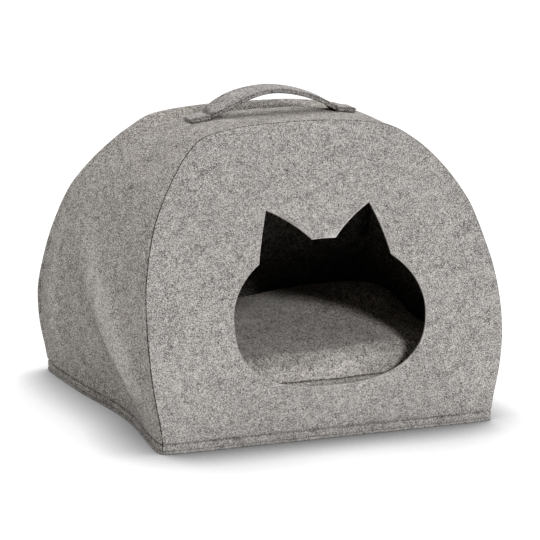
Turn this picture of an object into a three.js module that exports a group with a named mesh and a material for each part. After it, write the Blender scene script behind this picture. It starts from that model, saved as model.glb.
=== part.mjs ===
// Felt cat cave: a domed felt house with a cat-head doorway, a carrying handle and a loose cushion.
// Millimetres, +Z up, the doorway faces -Y, and the origin is on the floor under the middle.
import * as THREE from 'three';
import { mergeVertices } from 'three/addons/utils/BufferGeometryUtils.js';

const felt = 3; // thickness of every felt panel
const gap = 0.3; // clearance between neighbouring pieces
const foot = felt + gap; // height at which the walls stand on the base panel

// Wall sections from the foot to the crown of the arch: height, half-width of the arch at the seams,
// y of the two seams, y of the two end panels on their centre lines, and how square their corners are.
const sections = [
  { z: foot, half: 180.5, frontSeam: -188.5, backSeam: 188.5, frontMid: -191.5, backMid: 191.5, corner: 16 },
  { z: 25, half: 182.6, frontSeam: -190.5, backSeam: 194.5, frontMid: -193.5, backMid: 195.6, corner: 7 },
  { z: 50, half: 187.5, frontSeam: -191.0, backSeam: 195.5, frontMid: -195.8, backMid: 196.7, corner: 3.5 },
  { z: 75, half: 191.2, frontSeam: -190.0, backSeam: 190.5, frontMid: -197.2, backMid: 195.0, corner: 2.6 },
  { z: 100, half: 193.2, frontSeam: -187.0, backSeam: 182.0, frontMid: -197.4, backMid: 190.0, corner: 2.2 },
  { z: 130, half: 193.0, frontSeam: -180.0, backSeam: 164.5, frontMid: -194.5, backMid: 177.0, corner: 2 },
  { z: 160, half: 190.3, frontSeam: -169.8, backSeam: 148.5, frontMid: -186.4, backMid: 162.5, corner: 2 },
  { z: 185, half: 184.9, frontSeam: -160.8, backSeam: 137.0, frontMid: -178.0, backMid: 151.0, corner: 2 },
  { z: 205, half: 179.4, frontSeam: -154.2, backSeam: 127.0, frontMid: -170.8, backMid: 140.0, corner: 2 },
  { z: 225, half: 172.2, frontSeam: -147.4, backSeam: 114.5, frontMid: -161.6, backMid: 125.5, corner: 2 },
  { z: 250, half: 158.0, frontSeam: -137.2, backSeam: 95.5, frontMid: -147.0, backMid: 104.0, corner: 2 },
  { z: 272.6, half: 140.7, frontSeam: -124.6, backSeam: 77.5, frontMid: -130.8, backMid: 83.0, corner: 2 },
  { z: 288, half: 124.5, frontSeam: -112.8, backSeam: 66.0, frontMid: -116.8, backMid: 69.5, corner: 2 },
  { z: 301.2, half: 101.8, frontSeam: -100.4, backSeam: 60.0, frontMid: -102.0, backMid: 61.5, corner: 2 },
  { z: 308.2, half: 56.8, frontSeam: -93.2, backSeam: 53.0, frontMid: -93.2, backMid: 53.0, corner: 2 },
  { z: 309.9, half: 0, frontSeam: -91.3, backSeam: 49.0, frontMid: -91.3, backMid: 49.0, corner: 2 },
];
const crown = sections.length - 1;

// The doorway: a head with a round top and a fuller chin, and two ears with bowed sides.
const door = {
  middle: 128, half: 104.5, up: 75.3, down: 72, topPower: 2, chinPower: 2.5,
  tipX: 56.7, tipZ: 233.4, outerX: 72.2, innerX: 12.6, outerBow: 1.2, innerBow: 2.6,
};
const footSpacing = 1.5; // above 1, the steps along the foot grow closer near the corners
const cheekAngle = -0.6; // place on the head, in radians, that lines up with the wall's bottom corner

// Steps around half of an end panel, from the bottom centre to the top centre. Each row pairs a stretch
// of the doorway with a stretch of the rim: its steps, and the wall section that the rim reaches.
const stretches = [
  { doorway: 'chin', steps: 10, section: 0 },
  { doorway: 'cheek', steps: 10, section: 8 },
  { doorway: 'earOuter', steps: 5, section: 11.5 },
  { doorway: 'earInner', steps: 5, section: 14 },
  { doorway: 'brow', steps: 3, section: crown },
];
const frontRings = [0, 0.08, 0.3, 0.55, 0.8, 1]; // share of the way from the rim to the doorway
const backRings = [0, 0.05, 0.25, 0.5, 0.75]; // share of the way from the rim to the middle
const backMiddleZ = 150;

// Soft folds of the band: place along the arch (0 right foot, 1 left foot) and across it (0 front, 1 back),
// how far the fold spreads each way, and how far it stands out.
const folds = [
  { along: 1, across: 0.38, spreadAlong: 0.09, spreadAcross: 0.26, rise: -12 },
  { along: 0.88, across: 0.6, spreadAlong: 0.07, spreadAcross: 0.16, rise: -4 },
  { along: 0.93, across: 0.16, spreadAlong: 0.05, spreadAcross: 0.07, rise: 3 },
  { along: 0.9, across: 0.26, spreadAlong: 0.04, spreadAcross: 0.08, rise: 1.5 },
  { along: 0, across: 0.5, spreadAlong: 0.09, spreadAcross: 0.28, rise: -8 },
  { along: 0.14, across: 0.55, spreadAlong: 0.08, spreadAcross: 0.2, rise: -3 },
  { along: 0.5, across: 0.8, spreadAlong: 0.06, spreadAcross: 0.05, rise: -4 },
  { along: 0.52, across: 0.92, spreadAlong: 0.13, spreadAcross: 0.06, rise: 4 },
  { along: 0.6, across: 0.88, spreadAlong: 0.035, spreadAcross: 0.1, rise: 2.5 },
  { along: 0.4, across: 0.6, spreadAlong: 0.04, spreadAcross: 0.3, rise: 2.5 },
];
const bandColumns = [0, 0.03, 0.08, 0.16, 0.26, 0.37, 0.48, 0.6, 0.71, 0.8, 0.86, 0.92, 0.97, 1];
const foldFade = 12; // how quickly the folds run out at the seams
const cornerRound = { out: 3, reach: 14, height: 22 }; // rounding of the wall's corners at the foot

const baseProud = 0.5; // how far the base panel's cut edge stands out past the hem

const handle = {
  y: -24, width: 25, thick: 5, apex: -2, leftSpan: 68, rightSpan: 72, tab: 21.5, seat: 0.4, rise: 21,
  bowPower: 1.75, endPower: 0.88, tilt: 0.06, tabSteps: 4, bowSteps: 28,
};

const cushion = { y: -1, half: 174, power: 5, steps: 64, wave: 0.008, waves: 7 };
// Section of the cushion from the middle of its underside, out round the sewn flange and over the crown.
const cushionProfile = [
  { reach: 0.4, z: foot, top: 0 },
  { reach: 0.78, z: foot, top: 0 },
  { reach: 0.88, z: 7, top: 0 },
  { reach: 0.93, z: 19, top: 0 },
  { reach: 0.96, z: 35, top: 0 },
  { reach: 0.965, z: 49, top: 0 },
  { reach: 1, z: 50, top: 0 },
  { reach: 1, z: 54.8, top: 0 },
  { reach: 0.968, z: 56, top: 0 },
  { reach: 0.962, z: 61, top: 0.3 },
  { reach: 0.95, z: 67, top: 0.7 },
  { reach: 0.933, z: 71.7, top: 1 },
  { reach: 0.908, z: 75, top: 1 },
  { reach: 0.87, z: 77, top: 1 },
  { reach: 0.8, z: 78.1, top: 1 },
  { reach: 0.6, z: 79.5, top: 1 },
  { reach: 0.4, z: 80.2, top: 1 },
  { reach: 0.2, z: 80.6, top: 1 },
];
const cushionCrown = 80.7;
const cushionLumps = [
  { x: 150, y: 40, spread: 85, rise: 16 },
  { x: 30, y: 130, spread: 75, rise: -7 },
  { x: -95, y: -50, spread: 75, rise: -3 },
];
// The crown rises a little to the right.
const crownTilt = 0.04;

const feltGrey = new THREE.MeshStandardMaterial({ color: '#a09c98', roughness: 0.95, metalness: 0 });
const cushionGrey = new THREE.MeshStandardMaterial({ color: '#a8a49f', roughness: 0.95, metalness: 0 });

const point = (x, y, z) => new THREE.Vector3(x, y, z);
const mix = THREE.MathUtils.lerp;
const bump = (distance) => Math.exp(-distance * distance);

function halve(low, high, isBelow) {
  for (let step = 0; step < 40; step += 1) {
    const middle = (low + high) / 2;
    if (isBelow(middle)) low = middle;
    else high = middle;
  }
  return (low + high) / 2;
}

// A value of the wall at place t, counted in sections from the right foot over the crown to the left foot.
function column(name, row) {
  const isLeft = row > crown;
  const value = sections[Math.max(isLeft ? 2 * crown - row : row, 0)][name];
  return isLeft && name === 'half' ? -value : value;
}

function wall(name, t) {
  const row = Math.min(Math.floor(t), 2 * crown - 1);
  const f = t - row;
  const [a, b, c, d] = [-1, 0, 1, 2].map((step) => column(name, row + step));
  return b + (f / 2) * (c - a + f * (2 * a - 5 * b + 4 * c - d + f * (3 * (b - c) + d - a)));
}

const sectionAtHeight = (z) => halve(0, crown, (t) => wall('z', t) < z);

function bandNormal(t) {
  if (t === 0 || t === 2 * crown) return point(t === 0 ? 1 : -1, 0, 0);
  const step = 0.05;
  const run = wall('half', t + step) - wall('half', t - step);
  const rise = wall('z', t + step) - wall('z', t - step);
  return point(rise, 0, -run).normalize();
}

// The two end panels, each a domed surface y(x, z) between its seams.
const ends = {
  front: { seam: 'frontSeam', mid: 'frontMid', facing: -1 },
  back: { seam: 'backSeam', mid: 'backMid', facing: 1 },
};

function endY(end, x, z) {
  const t = sectionAtHeight(z);
  const reach = Math.min(Math.abs(x) / Math.max(wall('half', t), 1), 1);
  return mix(wall(end.mid, t), wall(end.seam, t), reach ** wall('corner', t));
}

function endPoint(end, x, z) {
  return point(x, endY(end, x, z), z);
}

function endNormal(end, x, z) {
  const step = 0.5;
  const inward = Math.sign(x) * step;
  const down = z < foot + step ? -step : step;
  const slopeX = x === 0 ? 0 : (endY(end, x, z) - endY(end, x - inward, z)) / inward;
  const isFoot = z - foot < gap / 10;
  const slopeZ = isFoot ? 0 : (endY(end, x, z) - endY(end, x, z - down)) / down;
  return point(-slopeX, 1, -slopeZ).multiplyScalar(end.facing).normalize();
}

// A seam is a mitre: the outer and inner edges of the panel and of the band, half a gap to either side.
function seam(end, t) {
  const outer = point(wall('half', t), wall(end.seam, t), wall('z', t));
  const panelOut = endNormal(end, outer.x, outer.z);
  const bandOut = bandNormal(t);
  const inner = panelOut.clone().add(bandOut).multiplyScalar(-felt / (1 + panelOut.dot(bandOut))).add(outer);
  const toPanel = panelOut.clone().sub(bandOut).normalize();
  const edges = (out, across) => {
    const inSheet = across.clone().addScaledVector(out, -across.dot(out)).normalize();
    const shift = inSheet.multiplyScalar(gap / 2 / across.dot(inSheet));
    return { outer: outer.clone().add(shift), inner: inner.clone().add(shift) };
  };
  return { panel: edges(panelOut, toPanel), band: edges(bandOut, toPanel.clone().negate()) };
}

// Places along one stretch, without its first one.
const places = (steps, from, to) => Array.from({ length: steps }, (_, i) => mix(from, to, (i + 1) / steps));

function headPoint(angle) {
  const power = 2 / (angle > 0 ? door.topPower : door.chinPower);
  const tall = angle > 0 ? door.up : -door.down;
  const x = door.half * Math.cos(angle) ** power;
  const z = door.middle + tall * Math.abs(Math.sin(angle)) ** power;
  return { x, z };
}

function bowedLine(from, to, bow, share) {
  const length = Math.hypot(to.x - from.x, to.z - from.z);
  const out = (4 * bow * share * (1 - share)) / length;
  const x = mix(from.x, to.x, share) + out * (to.z - from.z);
  const z = mix(from.z, to.z, share) - out * (to.x - from.x);
  return { x, z };
}

// Half of the doorway and half of the rim, stretch by stretch, as matching lists of points.
function doorwayHalf() {
  const outerAngle = Math.acos(door.outerX / door.half);
  const innerAngle = Math.acos(door.innerX / door.half);
  const tip = { x: door.tipX, z: door.tipZ };
  const makers = {
    chin: (share) => headPoint(mix(-Math.PI / 2, cheekAngle, share)),
    cheek: (share) => headPoint(mix(cheekAngle, outerAngle, share)),
    earOuter: (share) => bowedLine(headPoint(outerAngle), tip, door.outerBow, share),
    earInner: (share) => bowedLine(tip, headPoint(innerAngle), door.innerBow, share),
    brow: (share) => headPoint(mix(innerAngle, Math.PI / 2, share)),
  };
  const start = { x: 0, z: door.middle - door.down };
  return [start, ...stretches.flatMap((row) => places(row.steps, 0, 1).map(makers[row.doorway]))];
}

const footX = (share) => sections[0].half * (1 - (1 - share) ** footSpacing);

function rimHalf() {
  const [along, ...up] = stretches;
  const rim = [
    { x: 0, z: foot },
    ...places(along.steps, 0, 1).map((share) => ({ x: footX(share), z: foot })),
  ];
  rim.at(-1).t = 0;
  let reached = 0;
  up.forEach((row) => {
    const stations = places(row.steps, reached, row.section);
    rim.push(...stations.map((t) => ({ x: wall('half', t), z: wall('z', t), t })));
    reached = row.section;
  });
  return rim;
}

// A closed loop from its right half, which starts and ends on the centre line.
function mirrorLoop(half) {
  const across = ({ x, z, t }) => (t === undefined ? { x: -x, z } : { x: -x, z, t: 2 * crown - t });
  return [...half, ...half.slice(1, -1).reverse().map(across)];
}

const rimLoop = mirrorLoop(rimHalf());
const doorwayLoop = mirrorLoop(doorwayHalf());

// A sheet solid from two matching grids of points. Rows may wrap round, and may end in a middle point.
function sheetSolid(outer, inner, { wraps = false, middle = null } = {}) {
  const rows = outer.length;
  const columns = outer[0].length;
  const vertices = [...outer.flat(), ...inner.flat()];
  const index = [];
  const at = (i, j) => i * columns + (j % columns);
  const inside = rows * columns;
  const quad = (a, b, c, d) => index.push(a, b, c, a, c, d);
  const lastColumn = wraps ? columns : columns - 1;
  for (let i = 0; i < rows - 1; i += 1) {
    for (let j = 0; j < lastColumn; j += 1) {
      const [a, b, c, d] = [at(i, j), at(i, j + 1), at(i + 1, j + 1), at(i + 1, j)];
      quad(a, b, c, d);
      quad(d + inside, c + inside, b + inside, a + inside);
    }
  }
  for (let j = 0; j < lastColumn; j += 1) {
    const [a, b, c, d] = [at(0, j), at(0, j + 1), at(rows - 1, j + 1), at(rows - 1, j)];
    quad(a, a + inside, b + inside, b);
    if (middle) index.push(d, c, 2 * inside, c + inside, d + inside, 2 * inside + 1);
    else quad(d, c, c + inside, d + inside);
  }
  for (let i = 0; i < rows - 1 && !wraps; i += 1) {
    const [a, b, c, d] = [at(i, 0), at(i, columns - 1), at(i + 1, columns - 1), at(i + 1, 0)];
    quad(a, d, d + inside, a + inside);
    quad(c, b, b + inside, c + inside);
  }
  if (middle) vertices.push(...middle);
  return solid(vertices, index);
}

// A solid skinned over closed rings, with a middle point at either end.
function ringSolid(rings, first, last) {
  const columns = rings[0].length;
  const vertices = [...rings.flat(), first, last];
  const index = [];
  const firstAt = rings.length * columns;
  for (let j = 0; j < columns; j += 1) {
    const next = (j + 1) % columns;
    const end = (rings.length - 1) * columns;
    index.push(firstAt, next, j, firstAt + 1, end + j, end + next);
    for (let i = 0; i < rings.length - 1; i += 1) {
      const [a, b] = [i * columns + j, i * columns + next];
      index.push(a, b, b + columns, a, b + columns, a + columns);
    }
  }
  return solid(vertices, index);
}

function solid(vertices, index) {
  const geometry = new THREE.BufferGeometry().setFromPoints(vertices);
  geometry.setIndex(index);
  geometry.computeVertexNormals();
  return geometry;
}

function panelPlace(end, x, z) {
  const outer = endPoint(end, x, z);
  return { outer, inner: outer.clone().addScaledVector(endNormal(end, x, z), -felt) };
}

// An end panel in rings from its rim towards the doorway or, where it has none, towards its middle.
function endPanel(end, rings, inward) {
  const outer = [];
  const inner = [];
  const side = -end.facing;
  rings.forEach((share) => {
    const ring = rimLoop.map((rim, j) => {
      if (share === 0 && rim.t !== undefined) return seam(end, side > 0 ? rim.t : 2 * crown - rim.t).panel;
      const target = inward(j);
      return panelPlace(end, side * mix(rim.x, target.x, share), mix(rim.z, target.z, share));
    });
    outer.push(ring.map((place) => place.outer));
    inner.push(ring.map((place) => place.inner));
  });
  return { outer, inner };
}

function frontPanel() {
  const { outer, inner } = endPanel(ends.front, frontRings, (j) => doorwayLoop[j]);
  return sheetSolid(outer, inner, { wraps: true });
}

function backPanel() {
  const { outer, inner } = endPanel(ends.back, backRings, () => ({ x: 0, z: backMiddleZ }));
  const middle = panelPlace(ends.back, 0, backMiddleZ);
  return sheetSolid(outer, inner, { wraps: true, middle: [middle.outer, middle.inner] });
}

// The band runs over the arch between the two seams.
function bandOffset(t, across) {
  const along = t / (2 * crown);
  const edge = Math.min(1, foldFade * Math.min(across, 1 - across));
  const fold = folds.reduce((sum, row) => {
    const near = bump((along - row.along) / row.spreadAlong) * bump((across - row.across) / row.spreadAcross);
    return sum + row.rise * near;
  }, 0);
  const depth = wall('backSeam', t) - wall('frontSeam', t);
  const fromSeam = Math.min(1, (depth * Math.min(across, 1 - across)) / cornerRound.reach);
  const atFoot = bump(wall('z', t) / cornerRound.height);
  return fold * edge + cornerRound.out * atFoot * (1 - (1 - fromSeam) ** 2);
}

function bandPoint(t, across) {
  const y = mix(wall('frontSeam', t), wall('backSeam', t), across);
  const flat = point(wall('half', t), y, wall('z', t));
  return flat.addScaledVector(bandNormal(t), bandOffset(t, across));
}

// Height of the roof under the strap.
function roofHeight(x) {
  const t = halve(crown - 4, crown + 4, (place) => wall('half', place) > x);
  const [front, back] = [wall('frontSeam', t), wall('backSeam', t)];
  return wall('z', t) + bandOffset(t, (handle.y - front) / (back - front)) * bandNormal(t).z;
}

const archStations = rimLoop.map((rim) => rim.t).filter((t) => t !== undefined);

function archBand() {
  const outer = [];
  const inner = [];
  archStations.forEach((t) => {
    const [front, back] = [seam(ends.front, t).band, seam(ends.back, t).band];
    const between = bandColumns.slice(1, -1).map((across) => bandPoint(t, across));
    outer.push([front.outer, ...between, back.outer]);
    const within = between.map((face) => face.clone().addScaledVector(bandNormal(t), -felt));
    inner.push([front.inner, ...within, back.inner]);
  });
  return sheetSolid(outer, inner);
}

// The base panel follows the foot of the four walls.
function footOutline() {
  const halfX = places(stretches[0].steps, 0, 1).map(footX);
  const frontX = [...halfX.slice().reverse().map((x) => -x), 0, ...halfX];
  const front = frontX.map((x) => endPoint(ends.front, x, foot));
  const back = frontX.map((x) => endPoint(ends.back, -x, foot));
  const sides = bandColumns.slice(1, -1);
  const right = sides.map((across) => bandPoint(0, across));
  const left = sides.map((across) => bandPoint(2 * crown, 1 - across));
  return [...front, ...right, ...back, ...left];
}

function basePanel() {
  const outline = footOutline();
  const proud = outline.map((place, i) => {
    const before = outline.at(i - 1);
    const after = outline[(i + 1) % outline.length];
    const out = new THREE.Vector2(after.y - before.y, before.x - after.x).normalize();
    return new THREE.Vector2(place.x, place.y).addScaledVector(out, baseProud);
  });
  const geometry = new THREE.ExtrudeGeometry(new THREE.Shape(proud), { depth: felt, bevelEnabled: false });
  geometry.deleteAttribute('normal');
  geometry.deleteAttribute('uv');
  const merged = mergeVertices(geometry);
  merged.computeVertexNormals();
  return merged;
}

// The strap lies on the roof at both ends and bows up between them, tipped a little to the front.
function handleStrap() {
  const [left, right] = [handle.apex - handle.leftSpan, handle.apex + handle.rightSpan];
  const stations = [
    left - handle.tab,
    ...places(handle.tabSteps, left - handle.tab, left),
    ...places(handle.bowSteps, left, right),
    ...places(handle.tabSteps, right, right + handle.tab),
  ];
  const span = (x) => (x < handle.apex ? handle.leftSpan : handle.rightSpan);
  const share = (x) => Math.abs((x - handle.apex) / span(x)) ** handle.bowPower;
  const bow = (x) => Math.max(0, 1 - share(x)) ** handle.endPower;
  const middle = (x) => point(x, handle.y, roofHeight(x) + handle.seat + handle.rise * bow(x));
  const rings = stations.map((x, i) => {
    const before = middle(stations[Math.max(i - 1, 0)]);
    const after = middle(stations[Math.min(i + 1, stations.length - 1)]);
    const run = after.sub(before).normalize();
    const up = point(-run.z, 0, run.x);
    const across = point(0, 1, 0).applyAxisAngle(run, handle.tilt * bow(x));
    const top = up.clone().applyAxisAngle(run, handle.tilt * bow(x));
    const corner = (wide, high) => middle(x)
      .addScaledVector(across, wide * handle.width / 2)
      .addScaledVector(top, high * handle.thick);
    return [corner(-1, 0), corner(1, 0), corner(1, 1), corner(-1, 1)];
  });
  const heart = ([a, , c]) => a.clone().lerp(c, 0.5);
  return ringSolid(rings, heart(rings[0]), heart(rings.at(-1)));
}

// The cushion is one filled body, square with round corners: its underside flat, its flange at half height,
// its crown uneven.
function cushionBody() {
  const lump = (x, y) => cushionLumps.reduce(
    (sum, row) => sum + row.rise * bump(Math.hypot(x - row.x, y - row.y) / row.spread), crownTilt * x);
  const rings = cushionProfile.map((row) => Array.from({ length: cushion.steps }, (_, j) => {
    const angle = (2 * Math.PI * j) / cushion.steps;
    const [across, along] = [Math.cos(angle), Math.sin(angle)];
    const square = Math.abs(across) ** cushion.power + Math.abs(along) ** cushion.power;
    const wave = 1 + cushion.wave * Math.sin(cushion.waves * angle);
    const radius = cushion.half * row.reach * wave * square ** (-1 / cushion.power);
    const [x, y] = [radius * across, radius * along];
    return point(x, y + cushion.y, row.z + row.top * lump(x, y));
  }));
  return ringSolid(rings, point(0, cushion.y, foot), point(0, cushion.y, cushionCrown + lump(0, 0)));
}

const cave = new THREE.Group();
const pieces = [
  { name: 'front_panel', geometry: frontPanel(), material: feltGrey },
  { name: 'arch_band', geometry: archBand(), material: feltGrey },
  { name: 'back_panel', geometry: backPanel(), material: feltGrey },
  { name: 'base_panel', geometry: basePanel(), material: feltGrey },
  { name: 'handle_strap', geometry: handleStrap(), material: feltGrey },
  { name: 'cushion', geometry: cushionBody(), material: cushionGrey },
];
pieces.forEach(({ name, geometry, material }) => {
  const mesh = new THREE.Mesh(geometry, material);
  mesh.name = name;
  cave.add(mesh);
});

export default cave;
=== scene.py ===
import math
from bisect import bisect_left

import bmesh
import bpy
from mathutils import Matrix, Vector, noise
from mathutils.kdtree import KDTree


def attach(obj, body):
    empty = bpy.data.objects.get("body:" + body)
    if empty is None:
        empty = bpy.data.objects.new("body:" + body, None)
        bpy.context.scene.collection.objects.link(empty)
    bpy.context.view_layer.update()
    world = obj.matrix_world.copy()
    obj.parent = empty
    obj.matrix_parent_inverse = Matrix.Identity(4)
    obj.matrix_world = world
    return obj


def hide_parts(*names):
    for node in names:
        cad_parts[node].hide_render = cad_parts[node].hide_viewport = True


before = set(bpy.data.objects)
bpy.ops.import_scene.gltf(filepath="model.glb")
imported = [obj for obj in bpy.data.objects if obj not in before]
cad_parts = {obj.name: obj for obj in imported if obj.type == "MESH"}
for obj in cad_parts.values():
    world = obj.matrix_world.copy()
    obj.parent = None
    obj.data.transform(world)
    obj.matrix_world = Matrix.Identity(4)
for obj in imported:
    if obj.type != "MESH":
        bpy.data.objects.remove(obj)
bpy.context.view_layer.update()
scene = bpy.context.scene
mm = 0.001  # the tables are in millimetres, the meshes in metres

felt = {
    "thick": 3.0, "foot": 3.3, "firstLoop": 3.2,
    "seamOpen": 1.2, "seamDepth": 0.75, "seamTaper": 0.8, "seamClosed": 0.04,
}

# the cave's outline from the foot to the crown: height, half-width, y of the two seams,
# y of the two end panels on their centre lines, and how square the panels' corners are
archNames = ("z", "half", "frontSeam", "backSeam", "frontMid", "backMid", "corner")
archRows = [
    (3.3, 180.5, -188.5, 188.5, -191.5, 191.5, 16),
    (25, 182.6, -190.5, 194.5, -193.5, 195.6, 7),
    (50, 187.5, -191.0, 195.5, -195.8, 196.7, 3.5),
    (75, 191.2, -190.0, 190.5, -197.2, 195.0, 2.6),
    (100, 193.2, -187.0, 182.0, -197.4, 190.0, 2.2),
    (130, 193.0, -180.0, 164.5, -194.5, 177.0, 2),
    (160, 190.3, -169.8, 148.5, -186.4, 162.5, 2),
    (185, 184.9, -160.8, 137.0, -178.0, 151.0, 2),
    (205, 179.4, -154.2, 127.0, -170.8, 140.0, 2),
    (225, 172.2, -147.4, 114.5, -161.6, 125.5, 2),
    (250, 158.0, -137.2, 95.5, -147.0, 104.0, 2),
    (272.6, 140.7, -124.6, 77.5, -130.8, 83.0, 2),
    (288, 124.5, -112.8, 66.0, -116.8, 69.5, 2),
    (301.2, 101.8, -100.4, 60.0, -102.0, 61.5, 2),
    (308.2, 56.8, -93.2, 53.0, -93.2, 53.0, 2),
    (309.9, 0, -91.3, 49.0, -91.3, 49.0, 2),
]
crown = len(archRows) - 1
leftFoot = 2 * crown
earRows = {"outer": 8, "tip": 11.5, "inner": 14}  # rows that the corners of the doorway's ears belong to


def mixed(a, b, share):
    return a + (b - a) * share


def clamped(share):
    return min(max(share, 0), 1)


# shares from 0 to 1 in equal steps
def evenly(count):
    return [i / count for i in range(count + 1)]


def bell(distance):
    return math.exp(-distance * distance)


def nearTree(places):
    tree = KDTree(len(places))
    for i, place in enumerate(places):
        tree.insert(place, i)
    tree.balance()
    return tree


# a value of the wall at place t, counted in rows from the right foot over the crown to the left foot
def wall(name, t):
    index = archNames.index(name)

    def at(row):
        value = archRows[max(2 * crown - row if row > crown else row, 0)][index]
        return -value if row > crown and name == "half" else value

    row = min(int(t), leftFoot - 1)
    f = t - row
    a, b, c, d = at(row - 1), at(row), at(row + 1), at(row + 2)
    return b + f / 2 * (c - a + f * (2 * a - 5 * b + 4 * c - d + f * (3 * (b - c) + d - a)))


rowParts = 40  # steps in each row of the table
rowSteps = [i / rowParts for i in range(rowParts * crown + 1)]
rowHeights = [wall("z", t) for t in rowSteps]


# the row of the table at a height
def rowAt(z):
    i = min(max(bisect_left(rowHeights, z), 1), len(rowSteps) - 1)
    low, high = rowHeights[i - 1], rowHeights[i]
    return mixed(rowSteps[i - 1], rowSteps[i], clamped((z - low) / (high - low)))


def bandOut(t):
    if t == 0 or t == leftFoot:
        return Vector((1 if t == 0 else -1, 0, 0))
    step = 0.05
    run = wall("half", t + step) - wall("half", t - step)
    rise = wall("z", t + step) - wall("z", t - step)
    return Vector((rise, 0, -run)).normalized()


ends = {
    "front": {"seam": "frontSeam", "mid": "frontMid", "facing": -1},
    "back": {"seam": "backSeam", "mid": "backMid", "facing": 1},
}


def endY(end, x, z):
    t = rowAt(z)
    reach = min(abs(x) / max(wall("half", t), 1), 1)
    return mixed(wall(end["mid"], t), wall(end["seam"], t), reach ** wall("corner", t))


def endOut(end, x, z):
    step, upright = 0.5, 0.03  # the panel stands upright at the very foot
    inward = math.copysign(step, x)
    down = -step if z < felt["foot"] + step else step
    slopeX = 0 if x == 0 else (endY(end, x, z) - endY(end, x - inward, z)) / inward
    slopeZ = 0 if z - felt["foot"] < upright else (endY(end, x, z) - endY(end, x, z - down)) / down
    return (Vector((-slopeX, 1, -slopeZ)) * end["facing"]).normalized()


def seamPoint(end, t):
    return Vector((wall("half", t), wall(end["seam"], t), wall("z", t)))


# the seam at t is a mitre: outer, deep and inner corner of the panel or of the band
def seamCorners(end, t, ofPanel):
    outer = seamPoint(end, t)
    panelSide, bandSide = endOut(end, outer.x, outer.z), bandOut(t)
    inner = outer - (panelSide + bandSide) * (felt["thick"] / (1 + panelSide.dot(bandSide)))
    across = (panelSide - bandSide).normalized() * (1 if ofPanel else -1)
    out = panelSide if ofPanel else bandSide
    inSheet = (across - out * across.dot(out)).normalized()
    shift = inSheet / across.dot(inSheet) / 2
    opened = shift * felt["seamOpen"]
    deep = outer.lerp(inner, felt["seamDepth"])
    return outer + opened, deep + opened * felt["seamTaper"], inner + shift * felt["seamClosed"]


# a smooth turn in place of a sharp corner, cut back by the same length on both sides
def turned(before, corner, after, cut, steps):
    a = (before - corner).normalized() * cut
    b = (after - corner).normalized() * cut
    return [corner + a * (1 - share) ** 2 + b * share ** 2 for share in evenly(steps)]


# soft unevenness of the felt, in mm along its normal
feltLumps = [(95, 0.9), (26, 0.4), (9, 0.16)]  # size and height


def lump(place, seed):
    total = 0
    for size, height in feltLumps:
        total += height * noise.noise(Vector((place.x + seed, place.y, place.z)) / size)
    return total


# the stitched groove round the foot, and the painted shade along it
hem = {"height": 10.2, "width": 1.7, "depth": 1.3, "shade": -0.8, "shadeWidth": 0.9}


def hemGroove(z):
    return hem["depth"] * bell((z - hem["height"]) / hem["width"])


def hemShade(z):
    return hem["shade"] * bell((z - hem["height"]) / hem["shadeWidth"])


# heights of the closely set loops through the hem
hemSteps = [
    3.3, 3.6, 4.2, 5.2, 6.4, 7.4, 8.1, 8.7, 9.2, 9.7, 10.2, 10.7, 11.2, 11.7, 12.3, 13.2, 14.6, 16.8, 20,
]
loopStep = 4.0  # spacing of the loops above the hem


def archStations():
    step, least = 0.02, 1e-6
    stations = [0] + [rowAt(z) for z in hemSteps[1:]]
    t = stations[-1]
    while t < crown:
        run = math.hypot(wall("half", t + step) - wall("half", t), wall("z", t + step) - wall("z", t))
        t += step * loopStep / max(run, least)
        stations.append(min(t, crown))
    # the corners of the doorway's ears have loops of their own
    for mark in [*earRows.values(), crown]:
        nearest = min(range(len(stations)), key=lambda i: abs(stations[i] - mark))
        stations[nearest] = mark
    return stations + [leftFoot - t for t in reversed(stations[:-1])]


archLoops = archStations()

# folds of the band: place along the arch (0 right foot, 1 left foot) and across it (0 front, 1 back),
# spread both ways, and how far the fold stands out
folds = [
    (1, 0.38, 0.09, 0.26, -12),
    (0.88, 0.6, 0.07, 0.16, -4),
    (0.93, 0.16, 0.05, 0.07, 3),
    (0.9, 0.26, 0.04, 0.08, 1.5),
    (0, 0.5, 0.09, 0.28, -8),
    (0.14, 0.55, 0.08, 0.2, -3),
    (0.5, 0.74, 0.07, 0.055, -7),
    (0.52, 0.92, 0.13, 0.06, 4),
    (0.6, 0.88, 0.035, 0.1, 2.5),
    (0.4, 0.6, 0.04, 0.3, 2.5),
]
band = {
    "foldFade": 12, "lumpFade": 10, "cornerOut": 3, "cornerReach": 14, "cornerHeight": 22,
    "seamCut": 0.5, "seamSteps": 4, "columns": 92, "innerColumns": 36, "seed": 0,
    "footInsets": {0: 0.6, 1: 0.2},  # the first loops from the foot are drawn in
    "stripParts": 20,  # steps in each row where the strip is measured
}


def bandDepth(t):
    return wall("backSeam", t) - wall("frontSeam", t)


def bandOffset(t, across):
    along = t / leftFoot
    edge = min(1, band["foldFade"] * min(across, 1 - across))
    fold = 0
    for foldAlong, foldAcross, spreadAlong, spreadAcross, rise in folds:
        fold += rise * bell((along - foldAlong) / spreadAlong) * bell((across - foldAcross) / spreadAcross)
    fromSeam = min(1, bandDepth(t) * min(across, 1 - across) / band["cornerReach"])
    atFoot = bell(wall("z", t) / band["cornerHeight"])
    return fold * edge + band["cornerOut"] * atFoot * (1 - (1 - fromSeam) ** 2)


# long creases of the side walls: side, crest from (y, z) to (y, z), spread to the front and to the back, rise
creases = [
    (-1, (48, 170), (-158, 16), 40, 17, 6.6),
    (-1, (-60, 200), (-120, 90), 16, 14, -2.0),
    (-1, (120, 150), (150, 30), 18, 24, 3.0),
    (1, (40, 160), (-150, 30), 28, 18, 4.0),
]
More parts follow.
